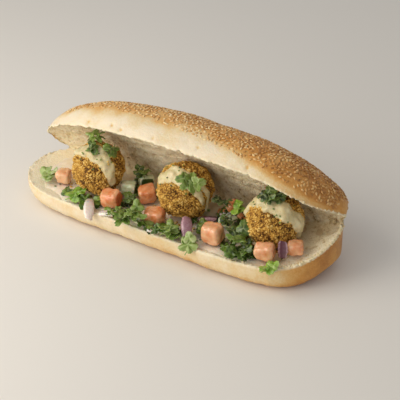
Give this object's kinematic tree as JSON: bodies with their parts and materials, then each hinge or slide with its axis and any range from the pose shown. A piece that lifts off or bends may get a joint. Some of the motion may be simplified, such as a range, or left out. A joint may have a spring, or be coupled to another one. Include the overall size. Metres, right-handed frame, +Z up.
{
  "type": "falafel sub sandwich",
  "caption": "Long sesame roll slit along its front and hinged open at the back, filled with fried falafel balls under tahini, diced vegetables, onion strips and herb leaves.",
  "frame": {"origin": "on the surface the roll rests on, below the middle of its length and width", "axes": "+X along the roll towards the end that the slit leaves joined, +Y from the open mouth to the uncut back, +Z up"},
  "size_m": [0.254, 0.1059, 0.0825],
  "materials": {
    "crust": "baked wheat crust, golden and matt, with a cream crumb at the cut",
    "tahini": "thick cream-coloured sauce with a soft wet gloss",
    "falafel": "rough fried crust, ochre on its crags and dark brown between them",
    "salad": "chopped herbs, onion and cucumber, moist",
    "tomato": "wet cut flesh, pale orange red",
    "cucumber": "wet pale green flesh with a dark green skin",
    "onion": "raw red onion, translucent lilac with a purple skin side",
    "herb": "fresh parsley and coriander leaf, satin"
  },
  "bodies": {
    "root": {"bread_roll": "crust", "cucumber_dice_1": "cucumber", "cucumber_dice_2": "cucumber", "cucumber_dice_3": "cucumber", "cucumber_dice_4": "cucumber", "falafel_left": "falafel", "falafel_middle": "falafel", "falafel_right": "falafel", "leaf_behind_cucumber": "herb", "leaf_bright_back": "herb", "leaf_bright_left": "herb", "leaf_cluster_high": "herb", "leaf_cluster_low": "herb", "leaf_dark_back": "herb", "leaf_dark_curl": "herb", "leaf_left_side": "herb", "leaf_left_top": "herb", "leaf_middle_front": "herb", "leaf_middle_low": "herb", "leaf_middle_small": "herb", "leaf_over_rim": "herb", "leaf_pale_left": "herb", "leaf_parsley_high": "herb", "leaf_parsley_low": "herb", "leaf_right_top": "herb", "leaf_sprig_right": "herb", "leaf_under_cucumber": "herb", "onion_strip_1": "onion", "onion_strip_2": "onion", "onion_strip_3": "onion", "onion_strip_4": "onion", "onion_strip_5": "onion", "onion_strip_6": "onion", "salad_heap_left": "salad", "salad_heap_right": "salad", "tahini_spread": "tahini", "tomato_dice_1": "tomato", "tomato_dice_2": "tomato", "tomato_dice_3": "tomato", "tomato_dice_4": "tomato", "tomato_dice_5": "tomato", "tomato_dice_6": "tomato", "tomato_dice_7": "tomato", "tomato_dice_8": "tomato"}
  },
  "joints": []
}
